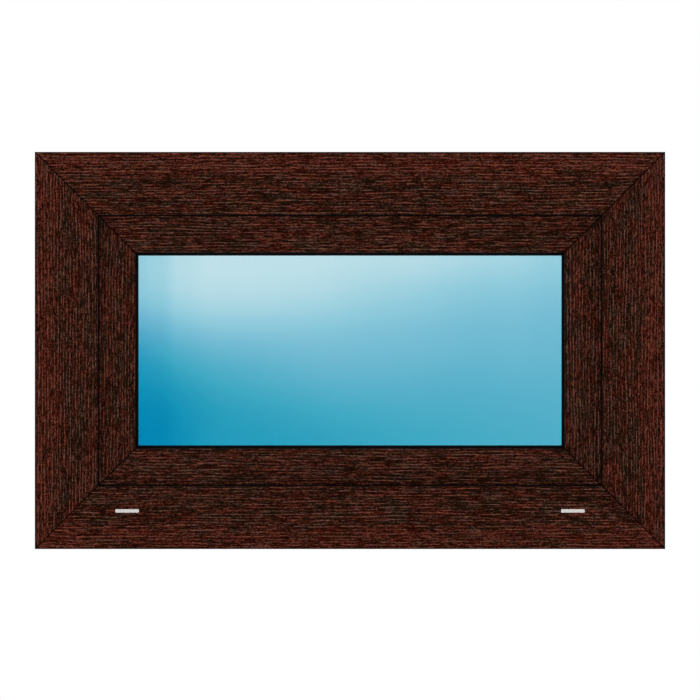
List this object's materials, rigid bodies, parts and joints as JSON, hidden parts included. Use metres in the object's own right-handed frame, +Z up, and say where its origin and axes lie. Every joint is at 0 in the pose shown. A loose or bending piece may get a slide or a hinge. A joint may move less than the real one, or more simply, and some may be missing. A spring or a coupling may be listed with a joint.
{
  "type": "window",
  "caption": "Small bottom-hung window: mitred wood-grain plastic frame and sash, double glazing, drain caps, indoor lever handle and surface hinges.",
  "frame": {"origin": "middle of the frame's underside, midway through the frame's depth", "axes": "+X along the width, to the right seen from outdoors; +Y through the depth, towards indoors; +Z up"},
  "size_m": [0.7, 0.1399, 0.441],
  "materials": {
    "wood_foil_profile": "dark mahogany wood-grain film on plastic, satin",
    "black_seal": "black sealing rubber, matt",
    "pane_glass": "clear float glass, polished",
    "spacer_metal": "plain spacer bar, satin",
    "edge_sealant": "black insulating-glass sealant",
    "block_plastic": "hard plastic setting blocks",
    "grey_cap_plastic": "pale grey plastic",
    "handle_metal": "natural anodised, satin",
    "hinge_metal": "dark brown enamel, satin",
    "pin_metal": "bright steel"
  },
  "bodies": {
    "root": {"frame_top": "wood_foil_profile", "frame_bottom": "wood_foil_profile", "frame_left": "wood_foil_profile", "frame_right": "wood_foil_profile", "frame_stop_seal": "black_seal", "sash_top": "wood_foil_profile", "sash_bottom": "wood_foil_profile", "sash_left": "wood_foil_profile", "sash_right": "wood_foil_profile", "sash_lip_seal": "black_seal", "glazing_seal_outer": "black_seal", "glazing_seal_inner": "black_seal", "pane_outer": "pane_glass", "pane_inner": "pane_glass", "glass_spacer": "spacer_metal", "glass_edge_seal": "edge_sealant", "setting_blocks": "block_plastic", "bead_top": "wood_foil_profile", "bead_bottom": "wood_foil_profile", "bead_left": "wood_foil_profile", "bead_right": "wood_foil_profile", "drain_cap_left": "grey_cap_plastic", "drain_cap_right": "grey_cap_plastic", "handle_base": "handle_metal", "handle_collar": "handle_metal", "handle_lever": "handle_metal", "hinge_left_frame_leaf": "hinge_metal", "hinge_left_sash_leaf": "hinge_metal", "hinge_left_pin": "pin_metal", "hinge_right_frame_leaf": "hinge_metal", "hinge_right_sash_leaf": "hinge_metal", "hinge_right_pin": "pin_metal"}
  },
  "joints": []
}
